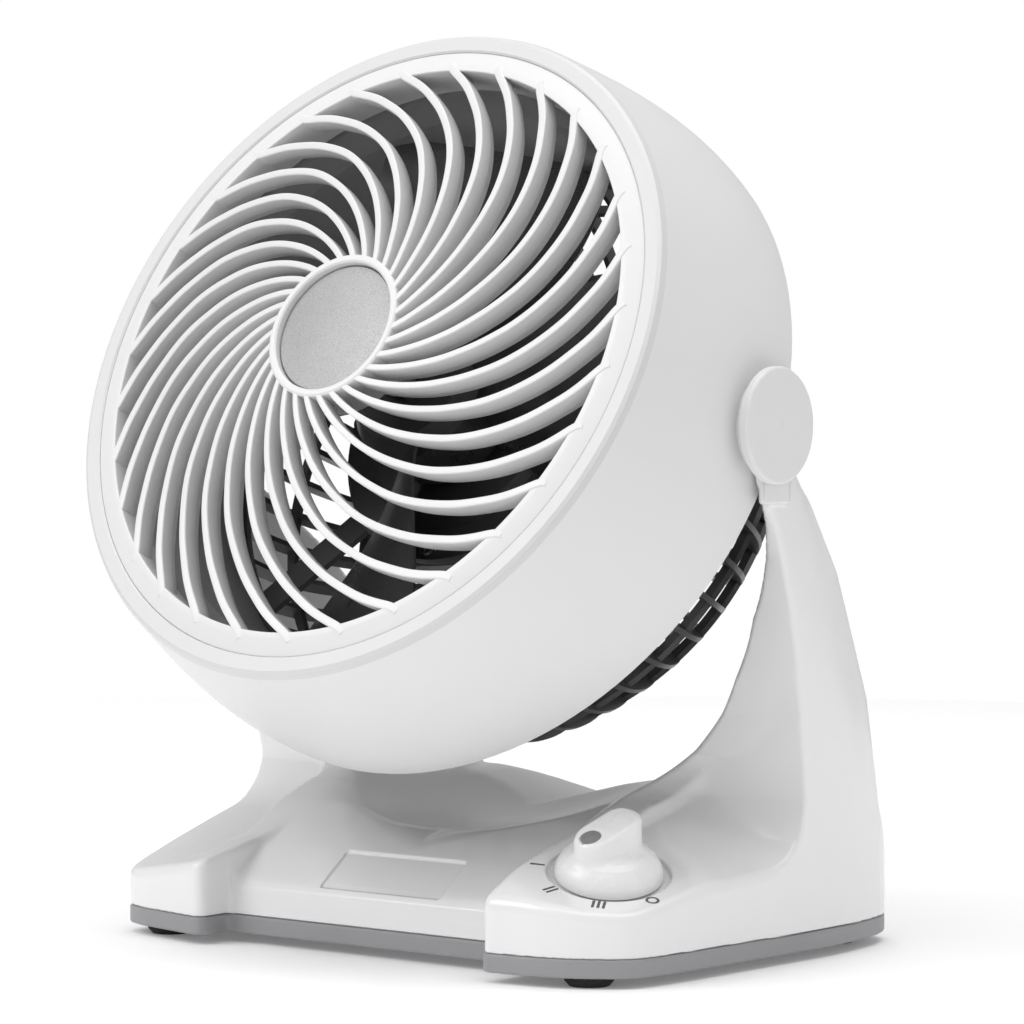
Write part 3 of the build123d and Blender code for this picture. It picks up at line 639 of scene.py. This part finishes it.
def louvres():
    r = np.linspace(22.6, 97.5, 64)
    rs = [p[0] for p in SPIRAL]
    th = np.radians(np.interp(r, rs, [p[1] for p in SPIRAL]))
    th = np.convolve(np.pad(th, 2, mode="reflect", reflect_type="odd"), [0.1, 0.2, 0.4, 0.2, 0.1], "valid")
    a = RIM_A + np.interp(r, [p[0] for p in DOME], [p[1] for p in DOME])
    a = np.convolve(np.pad(a, 2, mode="reflect", reflect_type="odd"), [0.1, 0.2, 0.4, 0.2, 0.1], "valid")
    x, y = r * np.cos(th), r * np.sin(th)
    dx, dy = np.gradient(x), np.gradient(y)
    l = np.hypot(dx, dy)
    nx, ny = -dy / l, dx / l
    half = 0.95 + 0.35 * (r - 22.5) / 72.5
    depth = np.interp(r, [22, 30, 60, 90, 98], [8.5, 8.5, 8.0, 7.6, 7.6])
    # section: (share of half width, share of depth, extra mm back): flat front edge, one straight facet, one tapering facet
    sec = [(-1.0, 0.0, 0.3), (-0.8, 0.0, 0.05), (-0.6, 0.0, 0.0), (0.6, 0.0, 0.0), (0.8, 0.0, 0.05), (1.0, 0.0, 0.3), (0.96, 0.62, 0.0), (0.9, 0.66, 0.0), (0.35, 0.98, 0.0), (0.15, 1.0, 0.0), (-0.15, 1.0, 0.0), (-0.35, 0.98, 0.0), (-0.9, 0.66, 0.0), (-0.96, 0.62, 0.0)]
    rows = []
    for s, b, e in sec:
        back, off = depth * b + e, s * half
        rows.append(np.stack([x + nx * off, y + ny * off, a - back], 1))
    one = np.stack(rows, 1)          # (len r, section, 3)
    n, m = one.shape[:2]
    F1 = []
    for i in range(n - 1):
        for k in range(m):
            l2 = (k + 1) % m
            F1.append((i * m + k, (i + 1) * m + k, (i + 1) * m + l2, i * m + l2))
    F1.append(tuple(range(m - 1, -1, -1)))
    F1.append(tuple((n - 1) * m + k for k in range(m)))
    pts = one.reshape(-1, 3)
    F1 = outward(pts, F1)
    VV, FF = [], []
    for q in range(N_LOUVRES):
        c, s_ = math.cos(2 * math.pi * q / N_LOUVRES), math.sin(2 * math.pi * q / N_LOUVRES)
        R = np.array([[c, -s_, 0], [s_, c, 0], [0, 0, 1]])
        base = q * len(pts)
        VV.append(pts @ R.T)
        FF += [tuple(i + base for i in f) for f in F1]
    return np.vstack(VV), FF


V, F = louvres()
make("louvre_blades", head_pts(V), F, "white_grille", "head", (), angle=16)

hub_prof = fillet([(HUB_I, a) for HUB_I, a in ((21.3, RIM_A + 1.2), (23.8, RIM_A + 1.2), (23.9, RIM_A + 14.6), (23.2, RIM_A + 15.0), (21.9, RIM_A + 15.0), (21.3, RIM_A + 14.5))], [0.5, 0.5, 0.6, 0.5, 0.4, 0.4], 4)
V, F = lathe(hub_prof, 192)
make("louvre_hub", head_pts(V), outward(V, F), "white_grille", "head", (), angle=40)
fl_prof = fillet([(94.6, RIM_A + 1.3), (96.5, RIM_A + 0.95), (101.9, RIM_A - 0.5), (101.9, RIM_A - 6.0), (96.2, RIM_A - 12.5), (94.9, RIM_A - 11.9)], [0.5, 1.5, 0.5, 0.6, 0.4, 0.3], 4)
V, F = lathe(fl_prof, 310)
make("louvre_flange", head_pts(V), outward(V, F), "white_grille", "head", ("louvre_grille",), angle=40)

# ------------------------------------------------------------------ badge
bd = [(0, RIM_A + 11.2), (20.6, RIM_A + 11.2), (20.95, RIM_A + 11.6), (20.95, RIM_A + 12.5), (20.6, RIM_A + 12.9), (14.0, RIM_A + 13.25), (7.0, RIM_A + 13.45), (0, RIM_A + 13.5)]
V, F = lathe_solid(bd, 128)
make("badge_face", head_pts(V), outward(V, F), "silver_badge", "head", ("badge_disc",), angle=35)
V, F = lathe_solid([(0, RIM_A + 9.0), (20.9, RIM_A + 9.0), (21.4, RIM_A + 9.5), (21.4, RIM_A + 10.6), (21.2, RIM_A + 10.9), (0, RIM_A + 10.9)], 128)
make("badge_seat", head_pts(V), outward(V, F), "white_grille", "head", (), angle=35)

# ------------------------------------------------------------------ knob
PTR = math.radians(256.4)
PD = np.array([math.cos(PTR), math.sin(PTR)])


def knob_field(a, b, h):
    """a, b, h: deck coordinates about the knob axis, mm."""
    r = np.sqrt(a * a + b * b)
    p = a * PD[0] + b * PD[1]            # towards the pointer
    q = -a * PD[1] + b * PD[0]
    prof = np.interp(r, [0, 8.5, 10.5, 12.5, 14.2, 15.4, 16.0, 16.4], [8.2, 8.0, 7.4, 6.2, 4.6, 3.0, 2.1, 1.2])
    skirt = smax((h - prof) * 0.86, r - 16.2, 1.6)
    skirt = smax(skirt, -1.2 - h, 0.4)
    top = np.interp(p, [-12, -10.5, -9.0, -7.0, -4.0, 10.5, 12.4, 13.4], [14.8, 16.9, 17.7, 17.8, 17.2, 12.7, 11.3, 9.0])
    wide = 6.5 + 0.07 * (12.0 - h)
    over = np.maximum(np.maximum(p - 5.4, -p - 3.4), 0.0)
    grip = smax((h - top) * 0.93, np.sqrt(over * over + q * q) - wide, 1.5)
    grip = smax(grip, 0.0 - h, 0.5)
    f = smin(skirt, grip, 1.5)
    # shallow pocket of the pointer dot
    dh = (h - (13.62 - 0.31 * (p - 7.6))) * 0.955
    dr = np.sqrt((p - 7.6) ** 2 + q * q)
    f = smax(f, -smax(dr - 3.15, -dh - 0.55, 0.15), 0.25)
    # hollow below, spindle bore
    f = smax(f, -smax(r - 9.6, h - 3.2, 0.4), 0.4)
    return smax(f, -smax(r - 3.02, h - 5.0, 0.2), 0.2)


ka = axis_lines([(-17.6, 17.6, 0.45)])
kh = axis_lines([(-2.0, 19.0, 0.42)])
V, Q, N = surface(knob_field, ka, ka, kh, steps=5, eps=0.02)
B = np.stack([KX, KY, KN])
make("speed_knob_form", KNOB_O + V @ B, Q, "white_knob", "knob", ("speed_knob",), normals=N @ B)
dv, df = lathe_solid([(0, -0.9), (2.95, -0.9), (3.02, -0.4), (3.0, -0.16), (2.7, -0.08), (0, -0.05)], 48)
dn = np.array([0.306, 0.0, 0.952]); dx_ = np.array([0.952, 0.0, -0.306]); dy_ = np.array([0.0, 1.0, 0.0])
loc = np.array([7.6, 0.0, 13.62]) + dv[:, :1] * dx_ + dv[:, 1:2] * dy_ + dv[:, 2:3] * dn
ab = np.stack([loc[:, 0] * PD[0] - loc[:, 1] * PD[1], loc[:, 0] * PD[1] + loc[:, 1] * PD[0], loc[:, 2]], 1)
make("knob_pointer_dot", KNOB_O + ab @ B, outward(dv, df), "pointer_grey", "knob", ("knob_pointer",), angle=30)


# ------------------------------------------------------------------ printed speed marks
def deck_point(a, b, h=0.0):
    return KNOB_O + a * KX + b * KY + h * KN


def deck_bar(name, ang, r, along, length, width, off=0.0):
    """A thin printed bar near the knob. It stands radially at the given angle; off shifts it sideways."""
    c, s = math.cos(math.radians(ang)), math.sin(math.radians(ang))
    rad, tan = np.array([c, s]), np.array([-s, c])
    n, out = 10, []
    hw, hl = width / 2, length / 2
    cor = fillet([(-hl, -hw), (hl, -hw), (hl, hw), (-hl, hw)], hw * 0.45, 3)
    v, f = [], []
    for hh in (-0.25, 0.045):
        for l_, w_ in cor:
            p = rad * (r + l_) + tan * (off + w_)
            v.append(deck_point(p[0], p[1], hh))
    m = len(cor)
    f.append(tuple(range(m - 1, -1, -1)))
    f.append(tuple(range(m, 2 * m)))
    for i in range(m):
        j = (i + 1) % m
        f.append((i, j, m + j, m + i))
    return v, f


def merge(parts):
    V, F, b = [], [], 0
    for v, f in parts:
        V += list(v)
        F += [tuple(i + b for i in q) for q in f]
        b += len(v)
    return V, F


INK = printed("print_ink", (0.085, 0.085, 0.09))
MAT["print_ink"] = INK
bars = [deck_bar("i", 211.4, 21.4, 0, 4.4, 0.85)]
bars += [deck_bar("ii", 256.4, 21.4, 0, 4.4, 0.85, o) for o in (-0.85, 0.85)]
bars += [deck_bar("iii", 301.4, 21.4, 0, 4.4, 0.85, o) for o in (-1.6, 0.0, 1.6)]
V, F = merge(bars)
make("speed_marks", V, outward(V, F), INK, "stand", (), smooth=False)
c0 = np.array([math.cos(math.radians(346.4)), math.sin(math.radians(346.4))]) * 21.2
rv, rf = lathe(fillet([(1.3, -0.25), (2.1, -0.25), (2.1, 0.045), (1.3, 0.045)], 0.03, 1), 48)
make("off_mark", np.array([deck_point(c0[0] + p[0], c0[1] + p[1], p[2]) for p in rv]), outward(rv, rf), INK, "stand", (), smooth=False)

# ------------------------------------------------------------------ floor, light, camera
floor_t = Tree("floor")
fa, fb = floor_t.noise(3.0, 4.0, 0.5), floor_t.noise(220.0, 4.0, 0.6)
floor_t.link(floor_t.ramp(fa, [(0.3, (0.885, 0.885, 0.885)), (0.7, (0.9, 0.9, 0.9))]), floor_t.p.inputs["Base Color"])
floor_t.link(floor_t.span(fb, 0.6, 0.75), floor_t.p.inputs["Roughness"])
floor_t.link(floor_t.bump(fb, 0.03, 0.0003), floor_t.p.inputs["Normal"])
floor_t.p.inputs["Emission Color"].default_value = (1, 1, 1, 1)
floor_t.p.inputs["Emission Strength"].default_value = 0.12
fv, ff = lathe_solid([(0, -0.004), (0.996, -0.004), (1.0, -0.002), (0.996, 0.0), (0, 0.0)], 128)
me = bpy.data.meshes.new("floor")
me.from_pydata(fv.tolist(), [], outward(fv, ff))
me.materials.append(floor_t.m)
floor = bpy.data.objects.new("floor", me)
bpy.context.scene.collection.objects.link(floor)

world = bpy.data.worlds.new("studio")
world.use_nodes = True
bg = world.node_tree.nodes["Background"]
bg.inputs["Color"].default_value = (1, 1, 1, 1)
bg.inputs["Strength"].default_value = 0.5
lp = world.node_tree.nodes.new("ShaderNodeLightPath")
bg2 = world.node_tree.nodes.new("ShaderNodeBackground")
mx = world.node_tree.nodes.new("ShaderNodeMixShader")
world.node_tree.links.new(lp.outputs["Is Camera Ray"], mx.inputs["Fac"])
world.node_tree.links.new(bg.outputs["Background"], mx.inputs[1])
world.node_tree.links.new(bg2.outputs["Background"], mx.inputs[2])
bg2.inputs["Color"].default_value = (1, 1, 1, 1)
world.node_tree.links.new(mx.outputs["Shader"], world.node_tree.nodes["World Output"].inputs["Surface"])
bpy.context.scene.world = world


def area(name, at, to, size, power):
    d = bpy.data.lights.new(name, "AREA")
    d.shape = "RECTANGLE"
    d.size, d.size_y = size
    d.energy = power
    o = bpy.data.objects.new(name, d)
    bpy.context.scene.collection.objects.link(o)
    o.location = at
    o.rotation_euler = (Vector(to) - Vector(at)).to_track_quat("-Z", "Y").to_euler()
    return o


area("key", (-1.0, -1.5, 1.5), (0, 0, 0.15), (1.2, 1.2), 17)
area("top", (0.2, -0.1, 2.2), (0, 0, 0.1), (2.2, 2.2), 34)
area("side", (2.0, -0.2, 0.7), (0, 0, 0.15), (0.7, 1.3), 1.6)

cam_d = bpy.data.cameras.new("camera")
cam_d.lens = 142.58
cam_d.sensor_width = 36.0
cam_d.clip_end = 50.0
cam = bpy.data.objects.new("camera", cam_d)
bpy.context.scene.collection.objects.link(cam)
az, el = math.radians(38.51), math.radians(1.87)
back = Vector((math.sin(az) * math.cos(el), -math.cos(az) * math.cos(el), math.sin(el)))
cam.location = Vector((0.80370, -0.98524, 0.17702))
cam.rotation_euler = (-back).to_track_quat("-Z", "Y").to_euler()
bpy.context.scene.camera = cam
bpy.context.scene.view_settings.view_transform = "Standard"
bpy.context.scene.view_settings.look = "None"
